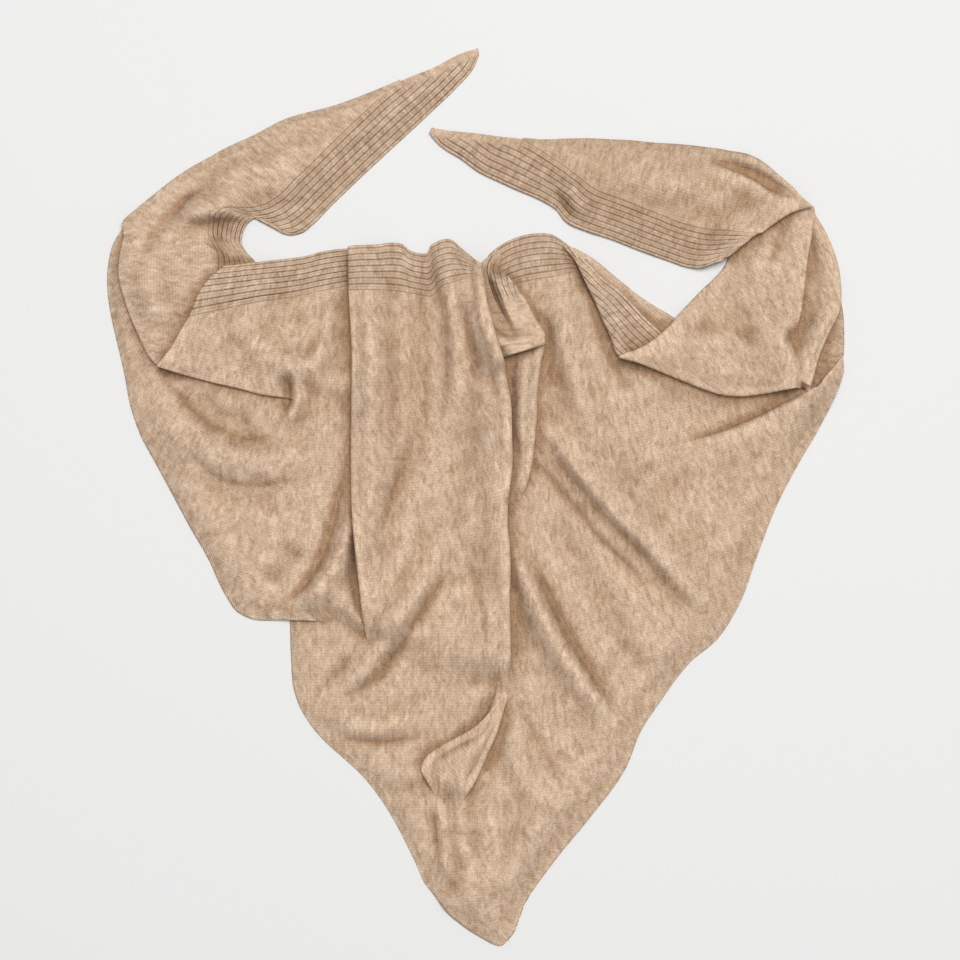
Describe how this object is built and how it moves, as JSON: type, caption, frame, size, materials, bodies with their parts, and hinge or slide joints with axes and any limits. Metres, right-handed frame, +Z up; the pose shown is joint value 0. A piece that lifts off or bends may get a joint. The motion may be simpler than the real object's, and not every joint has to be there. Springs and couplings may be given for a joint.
{
  "type": "knitted triangle scarf laid flat",
  "caption": "Fine knit wool triangle scarf with a ribbed long edge, laid flat with both long points turned up and over.",
  "frame": {"origin": "on the table, under the middle of the laid scarf's outline", "axes": "+Z up off the table, +Y from the lower point towards the ribbed long edge and the two turned-up points, +X to the right as seen from above"},
  "size_m": [0.738, 0.9, 0.0544],
  "materials": {
    "knit": "matte melange knit",
    "rib": "matte ribbed knit"
  },
  "bodies": {
    "root": {"lower_left": "knit", "right_outer": "knit", "right_rib": "rib", "right_panel": "knit", "left_wing": "knit", "left_arm_rib": "rib", "left_arm": "knit", "left_flap_rib": "rib", "left_flap": "knit", "pocket_foot": "knit", "pocket": "rib", "centre_rib": "rib", "centre_panel": "knit", "right_middle": "knit", "right_strip": "rib", "right_turn": "knit", "right_front": "knit", "right_arm_rib": "rib", "right_arm": "knit", "foot_fold": "knit"}
  },
  "joints": []
}
